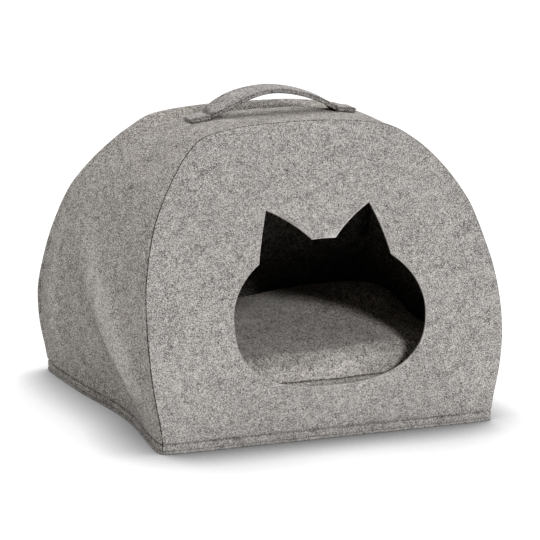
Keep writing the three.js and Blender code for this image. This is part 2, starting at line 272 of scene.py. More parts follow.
# where along its crest a crease is fullest, and the painted light and shade it puts on the felt: painted
# light on its front, which faces the lamps, painted shade in the hollow behind it;
# pale and dark are the rises that give a full tone, the places and the width are shares of the spread
creaseTone = {
    "fullAt": 0.55, "fullSpread": 0.45,
    "pale": 7, "paleAway": 0.5, "paleWidth": 0.55, "dark": 9, "darkAway": 1.3,
}
backRoll = {"depth": 1.8, "away": 11, "width": 6}  # shallow valley beside the back seam


# height of the creases at a place of the wall, and the painted light and shade they put on the felt
def creaseRise(side, y, z):
    rise, paintedLightShade = 0, 0
    tone = creaseTone
    for creaseSide, (startY, startZ), (stopY, stopZ), frontSpread, backSpread, height in creases:
        if creaseSide != side:
            continue
        length = math.hypot(stopY - startY, stopZ - startZ)
        runY, runZ = (stopY - startY) / length, (stopZ - startZ) / length
        share = ((y - startY) * runY + (z - startZ) * runZ) / length
        aside = (y - startY) * runZ - (z - startZ) * runY
        fade = bell((share - tone["fullAt"]) / tone["fullSpread"])
        rise += height * fade * bell(aside / (frontSpread if aside > 0 else backSpread))
        if height > 0:
            pale = (aside - frontSpread * tone["paleAway"]) / (frontSpread * tone["paleWidth"])
            dark = (aside + backSpread * tone["darkAway"]) / backSpread
            paintedLightShade += height / tone["pale"] * fade * bell(pale)
            paintedLightShade -= height / tone["dark"] * fade * bell(dark)
    return rise, paintedLightShade


def bandPoint(t, across, dressed=True):
    y = mixed(wall("frontSeam", t), wall("backSeam", t), across)
    flat = Vector((wall("half", t), y, wall("z", t)))
    out = bandOut(t)
    place = flat + out * bandOffset(t, across)
    edge = min(1, band["lumpFade"] * min(across, 1 - across))
    place += out * (creaseRise(1 if t < crown else -1, place.y, place.z)[0] * edge)
    if dressed:
        fromBack = (1 - across) * bandDepth(t)
        valley = backRoll["depth"] * bell((fromBack - backRoll["away"]) / backRoll["width"])
        place += out * (lump(place, band["seed"]) * edge - valley - hemGroove(place.z))
    return place


# one closed loop round the band's section: out along the front seam, over the outside, home on the inside
def bandRing(t, inset):
    out = bandOut(t)
    drawnIn = out * inset
    front, frontDeep, frontIn = seamCorners(ends["front"], t, False)
    back, backDeep, backIn = seamCorners(ends["back"], t, False)
    groove = out * hemGroove(wall("z", t))
    front, back = front - groove - drawnIn, back - groove - drawnIn
    frontIn, backIn = frontIn + drawnIn, backIn + drawnIn
    first = felt["firstLoop"] / bandDepth(t)
    outside = []
    for share in evenly(band["columns"]):
        outside.append(bandPoint(t, mixed(first, 1 - first, share)) - drawnIn)
    inside = []
    for share in evenly(band["innerColumns"])[1:-1]:
        inside.append(bandPoint(t, 1 - share, False) - out * (felt["thick"] - inset))
    cut, steps = band["seamCut"], band["seamSteps"]
    frontTurn = [frontDeep] + turned(frontDeep, front, outside[0], cut, steps)
    backTurn = turned(outside[-1], back, backDeep, cut, steps) + [backDeep]
    return [frontIn] + frontTurn + outside + backTurn + [backIn] + inside


weld = {"near": 2e-6, "thin": 1e-6}  # in metres
sharpAngle = 0.9


# maps a flat grid onto rows of points, welds what meets and gives the object
def gridPiece(name, rings, closed):
    bm = bmesh.new()
    across, along = len(rings[0]), len(rings) - (0 if closed else 1)
    bmesh.ops.create_grid(bm, x_segments=across, y_segments=along, size=0.5)
    for vert in bm.verts:
        i = round((vert.co.x + 0.5) * across) % across
        j = round((vert.co.y + 0.5) * along) % len(rings)
        vert.co = rings[j][i] * mm
    bmesh.ops.remove_doubles(bm, verts=bm.verts, dist=weld["near"])
    bmesh.ops.dissolve_degenerate(bm, edges=bm.edges, dist=weld["thin"])
    # where the loops of a whole panel meet in the middle there is no wall through the felt
    through = [face for face in bm.faces if all(abs(vert.co.x) < weld["thin"] for vert in face.verts)]
    bmesh.ops.delete(bm, geom=through, context="FACES_ONLY")
    if not closed:
        openEdges = [edge for edge in bm.edges if edge.is_boundary]
        bmesh.ops.holes_fill(bm, edges=openEdges, sides=0)
    bmesh.ops.recalc_face_normals(bm, faces=bm.faces)
    return finishMesh(name, bm)


def finishMesh(name, bm):
    for face in bm.faces:
        face.smooth = True
    mesh = bpy.data.meshes.new(name)
    bm.to_mesh(mesh)
    bm.free()
    mesh.set_sharp_from_angle(angle=sharpAngle)
    piece = bpy.data.objects.new(name, mesh)
    scene.collection.objects.link(piece)
    return piece


# painted shade in the seams' channels: how far from the seam's middle it starts and is full, and its tone
seamShade = {
    "none": 0.8, "full": 0.45, "tone": -1.5, "roof": 300, "roofShare": 0.5, "reach": 4, "rowParts": 50,
}
seamPlaces, seamAcross = [], []
for end in ends.values():
    for i in range(seamShade["rowParts"] * leftFoot + 1):
        t = i / seamShade["rowParts"]
        corner = seamPoint(end, t)
        seamPlaces.append(corner)
        seamAcross.append((endOut(end, corner.x, corner.z) - bandOut(t)).normalized())
nearSeam = nearTree(seamPlaces)


def shadeInSeam(place):
    corner, i, away = nearSeam.find(place)
    if away >= seamShade["reach"]:
        return 0
    aside = abs((place - corner).dot(seamAcross[i]))
    share = (seamShade["none"] - aside) / (seamShade["none"] - seamShade["full"])
    tone = seamShade["tone"] * (seamShade["roofShare"] if place.z > seamShade["roof"] else 1)
    return tone * clamped(share)


# stores each point's painted light and shade, which the felt's colour takes up
def markShade(piece, shares):
    piece.data.attributes.new("paintedLightShade", "FLOAT", "POINT").data.foreach_set("value", shares)


def makeBand():
    rings = []
    last = len(archLoops) - 1
    for i, t in enumerate(archLoops):
        rings.append(bandRing(t, band["footInsets"].get(min(i, last - i), 0)))
    piece = gridPiece("archBand", rings, False)
    stripSteps = [i / band["stripParts"] for i in range(band["stripParts"] * leftFoot + 1)]
    outline = [Vector((wall("half", t), 0, wall("z", t))) for t in stripSteps]
    length = [0]
    for a, b in zip(outline, outline[1:]):
        length.append(length[-1] + (b - a).length)
    nearOutline = nearTree(outline)
    # each point's place on the flat strip, and its painted light and shade from the creases, the seams and
    # the hem
    places, shares = [], []
    for vert in piece.data.vertices:
        x, y, z = vert.co / mm
        _, i, away = nearOutline.find(Vector((x, 0, z)))
        places += [y * mm, length[i] * mm, away * mm]
        shares.append(creaseRise(1 if x > 0 else -1, y, z)[1] + shadeInSeam(vert.co / mm) + hemShade(z))
    piece.data.attributes.new("strip", "FLOAT_VECTOR", "POINT").data.foreach_set("vector", places)
    markShade(piece, shares)
    return piece


# the doorway: a head with a round top and a fuller chin, and two ears with bowed sides
door = {
    "middle": 128, "half": 104.5, "up": 75.3, "down": 72, "topPower": 2, "chinPower": 2.5,
    "tipX": 56.7, "tipZ": 233.4, "outerX": 72.2, "innerX": 12.6, "outerBow": 1.2, "innerBow": 2.6,
    "cheekAngle": -0.6,
}


def headPoint(angle):
    power = 2 / (door["topPower"] if angle > 0 else door["chinPower"])
    tall = door["up"] if angle > 0 else -door["down"]
    x = door["half"] * max(math.cos(angle), 0) ** power
    return x, door["middle"] + tall * abs(math.sin(angle)) ** power


def bowedLine(start, stop, bow, share):
    length = math.hypot(stop[0] - start[0], stop[1] - start[1])
    out = 4 * bow * share * (1 - share) / length
    x = mixed(start[0], stop[0], share) + out * (stop[1] - start[1])
    return x, mixed(start[1], stop[1], share) - out * (stop[0] - start[0])


# the doorway's point that belongs to place t of the rim, on the right half
def doorPoint(t):
    outerAngle = math.acos(door["outerX"] / door["half"])
    innerAngle = math.acos(door["innerX"] / door["half"])
    earTip = (door["tipX"], door["tipZ"])
    outer, tip, inner = earRows["outer"], earRows["tip"], earRows["inner"]
    if t <= outer:
        return headPoint(mixed(door["cheekAngle"], outerAngle, t / outer))
    if t <= tip:
        return bowedLine(headPoint(outerAngle), earTip, door["outerBow"], (t - outer) / (tip - outer))
    if t <= inner:
        return bowedLine(earTip, headPoint(innerAngle), door["innerBow"], (t - tip) / (inner - tip))
    return headPoint(mixed(innerAngle, math.pi / 2, (t - inner) / (crown - inner)))


panels = {
    "footSteps": 46, "footSpacing": 1.5, "seamCut": 0.5, "seamSteps": 4, "edgeCut": 0.5, "edgeSteps": 3,
    "cutPaintedLight": 1.3, "cutReach": 0.45, "lumpFade": 25, "hemFrom": 7, "rows": 17, "innerRows": 12,
    # the whole panel's loops meet on a line up its middle, and reach its ends from these heights of the rim
    "middleLine": (95, 205), "middleFrom": (60, 260),
    "seeds": {"front": 300, "back": 600},
}


# x along the foot of an end panel, set closer towards the corner
def footX(share):
    return archRows[0][1] * (1 - (1 - share) ** panels["footSpacing"])


# stations round an end panel: x and z of the rim, t where the rim is a seam, and doorway or middle place
def panelLoop(hasDoor):
    half = []
    for share in evenly(panels["footSteps"])[:-1]:
        chin = headPoint(mixed(-math.pi / 2, door["cheekAngle"], share))
        half.append((footX(share), felt["foot"], None, chin))
    for t in archLoops[:archLoops.index(crown) + 1]:
        half.append((wall("half", t), wall("z", t), t, doorPoint(t)))
    loop = list(half)
    for x, z, t, (doorX, doorZ) in half[-2:0:-1]:
        loop.append((-x, z, None if t is None else leftFoot - t, (-doorX, doorZ)))
    if hasDoor:
        return loop
    low, high = panels["middleLine"]
    rimLow, rimHigh = panels["middleFrom"]
    wholeLoop = []
    for x, z, t, _ in loop:
        share = clamped((z - rimLow) / (rimHigh - rimLow))
        wholeLoop.append((x, z, t, (0, mixed(low, high, share))))
    return wholeLoop


def panelPoint(end, seed, x, z, edge):
    place = Vector((x, endY(end, x, z), z))
    return place + endOut(end, x, z) * (lump(place, seed) * edge - hemGroove(z))


# one closed loop across an end panel: rim, outside, doorway's cut edge where it has one, and inside
def panelRing(name, station):
    end, seed = ends[name], panels["seeds"][name]
    x, z, t, target = station
    run = math.hypot(target[0] - x, target[1] - z)
    near = [felt["firstLoop"]] + [step - felt["foot"] for step in hemSteps if step > panels["hemFrom"]]
    shares = [distance / run for distance in near]
    shares += [mixed(shares[-1], 1, share) for share in evenly(panels["rows"])[1:]]
    outside = []
    for share in shares:
        edge = min(1, share * run / panels["lumpFade"])
        outside.append(panelPoint(end, seed, mixed(x, target[0], share), mixed(z, target[1], share), edge))
    if t is None:
        rim = Vector((x, endY(end, x, z), z))
        rimIn = rim - endOut(end, x, z) * felt["thick"]
        rimDeep = rim.lerp(rimIn, felt["seamDepth"])
        rimCut = panels["edgeCut"]
    else:
        rim, rimDeep, rimIn = seamCorners(end, t, True)
        rim -= endOut(end, x, z) * hemGroove(z)
        rimCut = panels["seamCut"]
    rimTurn = [rimDeep] + turned(rimDeep, rim, outside[0], rimCut, panels["seamSteps"])
    inside = []
    for share in evenly(panels["innerRows"])[:-1]:
        px, pz = mixed(x, target[0], 1 - share), mixed(z, target[1], 1 - share)
        inside.append(Vector((px, endY(end, px, pz), pz)) - endOut(end, px, pz) * felt["thick"])
    if name == "front":
        cut, steps = panels["edgeCut"], panels["edgeSteps"]
        lip = turned(outside[-2], outside[-1], inside[0], cut, steps)
        innerLip = turned(outside[-1], inside[0], inside[1], cut, steps)
        return [rimIn] + rimTurn + outside[:-1] + lip + innerLip + inside[1:]
    return [rimIn] + rimTurn + outside + inside


def makePanel(name):
    hasDoor = name == "front"
    loop = panelLoop(hasDoor)
    piece = gridPiece(name + "Panel", [panelRing(name, station) for station in loop], True)
    nearDoor = nearTree([Vector((target[0], 0, target[1])) for *_, target in loop])
    shares = []
    for vert in piece.data.vertices:
        place = vert.co / mm
        # the doorway's cut edge is painted lighter where the lamps leave it dark; the seams and the hem get
        # painted shade
        isCut = hasDoor and nearDoor.find(Vector((place.x, 0, place.z)))[2] < panels["cutReach"]
        shares.append(shadeInSeam(place) + hemShade(place.z) + (panels["cutPaintedLight"] if isCut else 0))
    markShade(piece, shares)
    return piece


base = {"proud": 0.3, "edge": 1.1, "edgeSteps": 3, "sideSteps": 80, "footSteps": 60}


# the base panel follows the foot of the four walls
def makeBase():
    half = [footX(share) for share in evenly(base["footSteps"])]
    across = [-x for x in reversed(half[1:])] + half
    sides = evenly(base["sideSteps"])[1:-1]
    foot = felt["foot"]
    outline = [Vector((x, endY(ends["front"], x, foot), 0)) for x in across]
    outline += [bandPoint(0, share, False) for share in sides]
    outline += [Vector((-x, endY(ends["back"], -x, foot), 0)) for x in across]
    outline += [bandPoint(leftFoot, 1 - share, False) for share in sides]
    bm = bmesh.new()
    count = len(outline)
    made = bmesh.ops.create_circle(bm, segments=count, radius=1, cap_ends=True)
    ring = sorted(made["verts"], key=lambda v: math.atan2(v.co.y, v.co.x))
    for i, vert in enumerate(ring):
        ahead, behind = outline[(i + 1) % count], outline[i - 1]
        out = Vector((ahead.y - behind.y, behind.x - ahead.x, 0)).normalized()
        vert.co = Vector((outline[i].x, outline[i].y, 0)) * mm + out * base["proud"] * mm
    raised = bmesh.ops.extrude_face_region(bm, geom=bm.faces[:])
    topVerts = [item for item in raised["geom"] if isinstance(item, bmesh.types.BMVert)]
    bmesh.ops.translate(bm, verts=topVerts, vec=(0, 0, felt["thick"] * mm))
    bmesh.ops.recalc_face_normals(bm, faces=bm.faces)
    rims = [edge for edge in bm.edges if abs(edge.verts[0].co.z - edge.verts[1].co.z) < weld["thin"]]
    bmesh.ops.bevel(bm, geom=rims, offset=base["edge"] * mm, affect="EDGES", segments=base["edgeSteps"],
                    profile=0.5, material=-1)
    return finishMesh("basePanel", bm)


handle = {
    "y": -24, "width": 25, "thick": 5, "apex": -2, "leftSpan": 68, "rightSpan": 72, "tab": 21.5, "seat": 0.4,
    "rise": 21, "bowPower": 1.75, "endPower": 0.88, "tilt": 0.06, "tiltFade": 3,
    "twist": 0.24, "twistAt": -46, "twistSpread": 28,
    "tabSteps": 14, "bowSteps": 64, "foldSteps": (-1.0, -0.5, 0.5, 1.0), "endWide": 0.95, "endThick": 0.75,
    "corner": 0.8, "cornerIn": 0.25, "layerGroove": 0.55, "layerHalf": 0.55,
    "stitchIn": 2.7, "stitchDepth": 0.45, "stitchHalf": 0.9, "stitchSlope": 0.4, "slopeDepth": 0.6,
    "edgeShade": -0.75, "edgeIn": 0.3, "rimShade": -1.2, "rimIn": 0.4, "rimHigh": 0.5,
    "foldShade": -2.2, "foldWidth": 1.5, "foldDip": 0.6,
}
handleLeft, handleRight = handle["apex"] - handle["leftSpan"], handle["apex"] + handle["rightSpan"]


# height of the roof under the strap
def roofHeight(x):
    rowsAside, halvings = 4, 40
    low, high = crown - rowsAside, crown + rowsAside
    for _ in range(halvings):
        t = (low + high) / 2
        low, high = (t, high) if wall("half", t) > x else (low, t)
    across = (handle["y"] - wall("frontSeam", t)) / bandDepth(t)
    return wall("z", t) + bandOffset(t, across) * bandOut(t).z


def handleBow(x):
    span = handle["leftSpan"] if x < handle["apex"] else handle["rightSpan"]
    return max(0, 1 - abs((x - handle["apex"]) / span) ** handle["bowPower"]) ** handle["endPower"]


def handleMiddle(x):
    return Vector((x, handle["y"], roofHeight(x) + handle["seat"] + handle["rise"] * handleBow(x)))


# how close x is to one of the two creases where the strap leaves the roof
def handleFold(x):
    return sum(bell((x - at) / handle["foldWidth"]) for at in (handleLeft, handleRight))


# the strap's own axes at x: across and up
def handleAxes(x):
    step = 0.4
    run = (handleMiddle(x + step) - handleMiddle(x - step)).normalized()
    twist = handle["twist"] * bell((x - handle["twistAt"]) / handle["twistSpread"])
    angle = (handle["tilt"] + twist) * min(1, handle["tiltFade"] * handleBow(x))
    tip = Matrix.Rotation(angle, 3, run)
    return tip @ Vector((0, 1, 0)), tip @ Vector((-run.z, 0, run.x))


# the strap's section as (across, up): two layers of felt, a groove between them at the edges,
# and a stitched groove along both sides of the top
def handleSection():
    half, thick = handle["width"] / 2, handle["thick"]
    corner, cornerIn = handle["corner"], handle["cornerIn"]
    groove, layer = handle["layerGroove"], handle["layerHalf"]
    seam, depth = half - handle["stitchIn"], handle["stitchDepth"]
    wide, slope, slopeDepth = handle["stitchHalf"], handle["stitchSlope"], depth * handle["slopeDepth"]
    right = [(half - corner, 0), (half - cornerIn, cornerIn), (half, corner), (half, thick / 2 - layer)]
    right += [(half - groove, thick / 2), (half, thick / 2 + layer), (half, thick - corner)]
    right += [(half - cornerIn, thick - cornerIn), (half - corner, thick)]
    right += [(seam + wide, thick), (seam + slope, thick - slopeDepth), (seam, thick - depth)]
    right += [(seam - slope, thick - slopeDepth), (seam - wide, thick)]
    top = [(across, thick) for across in (6.5, 3.5, 0)]
    below = [(across, 0) for across in (-7, -3, 3, 7)]
    mirrored = [(-across, up) for across, up in reversed(right + top[:-1])]
    return right + top + mirrored + below


def makeHandle():
    left, right, tab, tabSteps = handleLeft, handleRight, handle["tab"], handle["tabSteps"]
    half, thick = handle["width"] / 2, handle["thick"]
    stations = [left - tab + tab * i / tabSteps for i in range(tabSteps)]
    stations += [mixed(left, right, share) for share in evenly(handle["bowSteps"])[:-1]]
    stations += [right + tab * i / tabSteps for i in range(tabSteps + 1)]
    stations += [fold + step for fold in (left, right) for step in handle["foldSteps"]]
    stations.sort()
    section = handleSection()
    rings = []
    for x in stations:
        across, up = handleAxes(x)
        middle = handleMiddle(x)
        atEnd = x in (stations[0], stations[-1])
        endWide, endThick = (handle["endWide"], handle["endThick"]) if atEnd else (1, 1)
        ring = []
        for wide, high in section:
            high = mixed(thick / 2, high, endThick)
            if high > thick / 2:
                high -= handle["foldDip"] * handleFold(x)
            ring.append(middle + across * wide * endWide + up * high)
        rings.append(ring)
    piece = gridPiece("handleStrap", rings, False)
    # the cut edges of the doubled felt are painted a darker tone, with painted shade in a line along their
    # rims and in the creases where the strap leaves the roof
    nearRing = nearTree([place * mm for ring in rings for place in ring])
    shares = []
    for vert in piece.data.vertices:
        wide, high = section[nearRing.find(vert.co)[1] % len(section)]
        shade = handle["edgeShade"] if abs(wide) > half - handle["edgeIn"] else 0
        if abs(wide) > half - handle["rimIn"] and min(high, thick - high) < handle["rimHigh"]:
            shade = handle["rimShade"]
        shares.append(min(shade, handle["foldShade"] * handleFold(vert.co.x / mm)))
    markShade(piece, shares)
    return piece


# rows of thread: each stitch is a small rounded dash
thread = {
    "radius": 0.4, "hemLength": 3.0, "hemPitch": 4.4, "hemSteps": 160, "hemLift": 0.15, "panelGap": 5,
    "bandRun": (0.015, 0.985), "handleLength": 2.3, "handlePitch": 3.2, "handleSteps": 150, "handleLift": 0.2,
    "tabIn": 4, "rootIn": 6, "crossSteps": 12, "crossLift": 0.3,
}


def addStitch(bm, place, along, out, length):
    side = along.cross(out).normalized()
    turn = Matrix((along.normalized(), side, out)).transposed().to_4x4()
    size = Matrix.Diagonal((length / 2, thread["radius"], thread["radius"], 1))
    matrix = Matrix.Scale(mm, 4) @ Matrix.Translation(place) @ turn @ size
    bmesh.ops.create_uvsphere(bm, u_segments=6, v_segments=4, radius=1, matrix=matrix)


# places at an even pitch along a path
def spaced(path, pitch):
    found, carried = [], pitch / 2
    for a, b in zip(path, path[1:]):
        length = (b - a).length
        while carried < length:
            found.append((a.lerp(b, carried / length), (b - a).normalized()))
            carried += pitch
        carried -= length
    return found


def makeHemThread():
    bm = bmesh.new()
    z = hem["height"]
    t = rowAt(z)
    half = wall("half", t) - thread["panelGap"]
    edge = min(1, (z - felt["foot"]) / panels["lumpFade"])
    shares = evenly(thread["hemSteps"])
    for name, end in ends.items():
        seed = panels["seeds"][name]
        path = [panelPoint(end, seed, mixed(-half, half, share), z, edge) for share in shares]
        for place, along in spaced(path, thread["hemPitch"]):
            out = endOut(end, place.x, z)
            addStitch(bm, place + out * thread["hemLift"], along, out, thread["hemLength"])
    for side in (t, leftFoot - t):
        path = [bandPoint(side, mixed(*thread["bandRun"], share)) for share in shares]
        out = bandOut(side)
        for place, along in spaced(path, thread["hemPitch"]):
            addStitch(bm, place + out * thread["hemLift"], along, out, thread["hemLength"])
    return finishMesh("hemThread", bm)


def makeHandleThread():
    bm = bmesh.new()
    tab = handle["tab"]
    start, stop = handleLeft - tab + thread["tabIn"], handleRight + tab - thread["tabIn"]
    roots = (start + tab - thread["rootIn"], stop - tab + thread["rootIn"])
    wide = handle["width"] / 2 - handle["stitchIn"]
    high = handle["thick"] - handle["stitchDepth"] + thread["handleLift"]
    rows = []
    for side in (-wide, wide):
        row = []
        for share in evenly(thread["handleSteps"]):
            x = mixed(start, stop, share)
            across, up = handleAxes(x)
            row.append(handleMiddle(x) + across * side + up * high)
        rows.append(row)
    for x in (start, *roots, stop):
        across, up = handleAxes(x)
        lift = up * (high + thread["crossLift"])
        shares = evenly(thread["crossSteps"])
        rows.append([handleMiddle(x) + across * mixed(-wide, wide, share) + lift for share in shares])
    for row in rows:
        for place, along in spaced(row, thread["handlePitch"]):
            addStitch(bm, place, along, handleAxes(place.x)[1], thread["handleLength"])
    return finishMesh("handleThread", bm)


print("walls: loops", len(archLoops))
frontPanel = makePanel("front")
archBand = makeBand()
backPanel = makePanel("back")
basePanel = makeBase()
handleStrap = makeHandle()
hemThread = makeHemThread()
handleThread = makeHandleThread()
print("felt pieces made")

cushion = {
    "y": -1, "half": 174, "power": 5, "wave": 0.008, "waves": 7, "steps": 120, "cuts": 2,
    "seam": 52.4, "seamSpread": 16, "pucker": 0.006, "puckers": 9, "puckerReach": 3.2, "puckerTall": 30,
    "riseFrom": 56, "riseOver": 16, "voxel": 5.0, "frames": 20, "cap": 2.5, "clear": 0.35,
    "heldSpread": 5, "heldFrom": 0.86, "underside": 6,
}
# section from the middle of the underside over the seam to the crown: share of the outline and height
cushionRows = [
    (0, 4.0), (0.4, 4.0), (0.76, 4.2), (0.87, 8), (0.925, 20), (0.955, 36), (0.957, 50), (0.957, 55),
    (0.955, 60), (0.947, 66), (0.93, 71), (0.905, 74.3), (0.87, 76.3), (0.8, 77.4), (0.6, 78.8),
    (0.4, 79.5), (0.2, 79.9), (0, 80),
]
cushionLumps = [(150, 40, 85, 16), (30, 130, 75, -7), (-95, -50, 75, -3)]  # x, y, spread, rise
crownTilt = 0.04  # the crown rises to the right
clothSettings = {
    "vertex_group_mass": "held", "use_pressure": True, "uniform_pressure_force": 1.2, "mass": 0.3,
    "tension_stiffness": 12, "compression_stiffness": 6, "bending_stiffness": 0.8,
}


# the cushion's outline, square with round corners, from its middle
def cushionOutline(angle):
    power = cushion["power"]
    square = abs(math.cos(angle)) ** power + abs(math.sin(angle)) ** power
    wave = 1 + cushion["wave"] * math.sin(cushion["waves"] * angle)
    return cushion["half"] * square ** (-1 / power) * wave


# a place's share of the way from the cushion's middle to its outline
def cushionReach(x, y):
    return math.hypot(x, y) / cushionOutline(math.atan2(y, x))


def cushionLump(x, y):
    lumps = sum(rise * bell(math.hypot(x - lx, y - ly) / spread) for lx, ly, spread, rise in cushionLumps)
    return lumps + crownTilt * x


# the cover before it is filled: a section spun round, waved at the seam and lumpy on top
def makeCushionCover():
    bm = bmesh.new()
    chain = [bm.verts.new((reach, 0, z * mm)) for reach, z in cushionRows]
    for a, b in zip(chain, chain[1:]):
        bm.edges.new((a, b))
    bmesh.ops.subdivide_edges(bm, edges=bm.edges, cuts=cushion["cuts"])
    bmesh.ops.spin(bm, geom=bm.verts[:] + bm.edges[:], cent=(0, 0, 0), axis=(0, 0, 1), angle=2 * math.pi,
                   steps=cushion["steps"], use_merge=True, use_duplicate=False)
    bmesh.ops.remove_doubles(bm, verts=bm.verts, dist=weld["thin"])
    for vert in bm.verts:
        angle = math.atan2(vert.co.y, vert.co.x)
        z = vert.co.z / mm
        seam = bell((z - cushion["seam"]) / cushion["seamSpread"])
        turns, reach = angle * cushion["puckers"], cushion["puckerReach"]
        spot = Vector((reach * math.cos(turns), reach * math.sin(turns), z / cushion["puckerTall"]))
        radius = cushionOutline(angle) * (1 + seam * cushion["pucker"] * noise.noise(spot))
        x, y = vert.co.x * radius, vert.co.y * radius
        rise = cushionLump(x, y) * clamped((z - cushion["riseFrom"]) / cushion["riseOver"])
        vert.co = Vector((x, y + cushion["y"], z + rise)) * mm
    bmesh.ops.recalc_face_normals(bm, faces=bm.faces)
    return finishMesh("cushionBody", bm)


def bakeModifiers(piece):
    graph = bpy.context.evaluated_depsgraph_get()
    baked = bpy.data.meshes.new_from_object(piece.evaluated_get(graph))
    piece.modifiers.clear()
    piece.data = baked


# blows the cover up as cloth that is held at its seam and underside
def blowUp(piece):
    held = piece.vertex_groups.new(name="held")
    for vert in piece.data.vertices:
        x, y, z = vert.co / mm
        atSide = cushionReach(x, y - cushion["y"]) > cushion["heldFrom"]
        atSeam = bell((z - cushion["seam"]) / cushion["heldSpread"]) * atSide
        under = 1 if z < cushion["underside"] else 0
        held.add([vert.index], max(atSeam, under), "REPLACE")
    cloth = piece.modifiers.new("fill", "CLOTH")
    for name, value in clothSettings.items():
        setattr(cloth.settings, name, value)
    cloth.settings.effector_weights.gravity = 0
    for number in range(1, cushion["frames"] + 1):
        scene.frame_set(number)
    bakeModifiers(piece)
    piece.vertex_groups.clear()
    scene.frame_set(1)


def fillCushion(piece):
    remesh = piece.modifiers.new("even", "REMESH")
    remesh.mode = "VOXEL"
    remesh.voxel_size = cushion["voxel"] * mm
    bakeModifiers(piece)
    start = [vert.co.copy() for vert in piece.data.vertices]
    blowUp(piece)
    for vert, before in zip(piece.data.vertices, start):
        moved = vert.co - before
        if moved.length > cushion["cap"] * mm:
            vert.co = before + moved.normalized() * cushion["cap"] * mm
        vert.co.z = max(vert.co.z, (felt["foot"] + cushion["clear"]) * mm)
    for face in piece.data.polygons:
        face.use_smooth = True
    smooth = piece.modifiers.new("smooth", "SUBSURF")
    smooth.levels = smooth.render_levels = 1


flange = {
    "inner": 0.94, "outer": 1.0, "low": 50.0, "high": 54.8, "steps": 240, "edgeIn": 0.006, "edgeHigh": 0.8,
    "layerHalf": 0.5, "crease": 0.965, "creaseFoot": 0.001, "creaseLean": 0.003, "creaseStart": 0.1,
    "creaseHeight": 1.3, "creaseTop": 0.2, "creaseShade": -1.6, "wave": 0.7, "waveReach": 5, "waveSeed": 9,
}


# the sewn flange: two layers of felt that stand out at the seam
def makeFlange():
    low, high, inner, outer = flange["low"], flange["high"], flange["inner"], flange["outer"]
    middle, layer = (low + high) / 2, flange["layerHalf"]
    edge, edgeHigh = outer - flange["edgeIn"], flange["edgeHigh"]
    crease, foot, top = flange["crease"], flange["creaseFoot"], high + flange["creaseHeight"]
    section = [(inner, low), (edge, low), (outer, low + edgeHigh), (outer, middle - layer)]
    section += [(edge, middle), (outer, middle + layer), (outer, high - edgeHigh), (edge, high)]
    section += [(crease + foot, high), (crease, high + flange["creaseStart"])]
    section += [(crease - flange["creaseLean"], top), (inner, top + flange["creaseTop"])]
    rings = []
    for i in range(flange["steps"]):
        angle = 2 * math.pi * i / flange["steps"]
        reach = flange["waveReach"]
        spot = Vector((reach * math.cos(angle), reach * math.sin(angle), flange["waveSeed"]))
        wave = flange["wave"] * noise.noise(spot)
        radius = cushionOutline(angle)
        ring = []
        for reach, z in section:
            x, y = radius * reach * math.cos(angle), radius * reach * math.sin(angle)
            ring.append(Vector((x, y + cushion["y"], z + wave)))
        rings.append(ring)
    piece = gridPiece("cushionFlange", rings, True)
    # painted shade in the crease where the flange meets the body
    shares = []
    for vert in piece.data.vertices:
        reach = cushionReach(vert.co.x / mm, vert.co.y / mm - cushion["y"])
        shares.append(flange["creaseShade"] if reach < crease + foot / 2 else 0)
    markShade(piece, shares)
    return piece


cushionBody = makeCushionCover()
fillCushion(cushionBody)
cushionFlange = makeFlange()
print("cushion filled")


def toLinear(hexColour):
    parts = [int(hexColour[i:i + 2], 16) / 255 for i in (1, 3, 5)]
    return [p / 12.92 if p <= 0.04045 else ((p + 0.055) / 1.055) ** 2.4 for p in parts] + [1]


def addNode(tree, kind, inputs, **settings):
    node = tree.nodes.new("ShaderNode" + kind)
    for name, value in settings.items():
        setattr(node, name, value)
    for name, value in inputs.items():
        if isinstance(value, bpy.types.NodeSocket):
            tree.links.new(value, node.inputs[name])
        else:
            node.inputs[name].default_value = value
    return node


def emptyMaterial(name):
    material = bpy.data.materials.new(name)
    material.use_nodes = True
    material.node_tree.nodes.clear()
    return material, material.node_tree


# needle-punched polyester felt: matt, a melange of pale and dark fibres pressed in all directions,
# so the eye sees short flecks, soft clouds, darker drawn-out wisps and a faint nap
heather = {
    "colours": ["#42403e", "#989491", "#cecac5"], "place": "Object", "along": (1, 1, 1),
    "fleck": 0.75, "stretch": 2.6, "leans": [(0.5, 0.5, 0.2), (-0.6, 0.9, 1.1), (1.3, -0.4, 2.2)],
    "fleckStrength": 4.6, "clouds": [(5.0, 0.36), (16.0, 0.2), (60.0, 0.12)],  # size in mm, strength
    "wisp": 7.0, "wispStretch": 2.2, "wispRange": (0.5, 0.75), "wispStrength": 0.15,
    "paintedLightShadeStrength": 0.3, "relief": 0.5, "reliefDepth": 0.4,
}
# the band's fibres run along the strip
bandHeather = dict(
    heather, colours=["#3b3734", "#8f8983", "#cdc8c2"], place="strip", along=(1.5, 1.25, 1),
    fleckStrength=5.2,
)
coverHeather = dict(heather, colours=["#524e4b", "#b4afaa", "#e8e3dd"], along=(1.1, 2.3, 1.1))


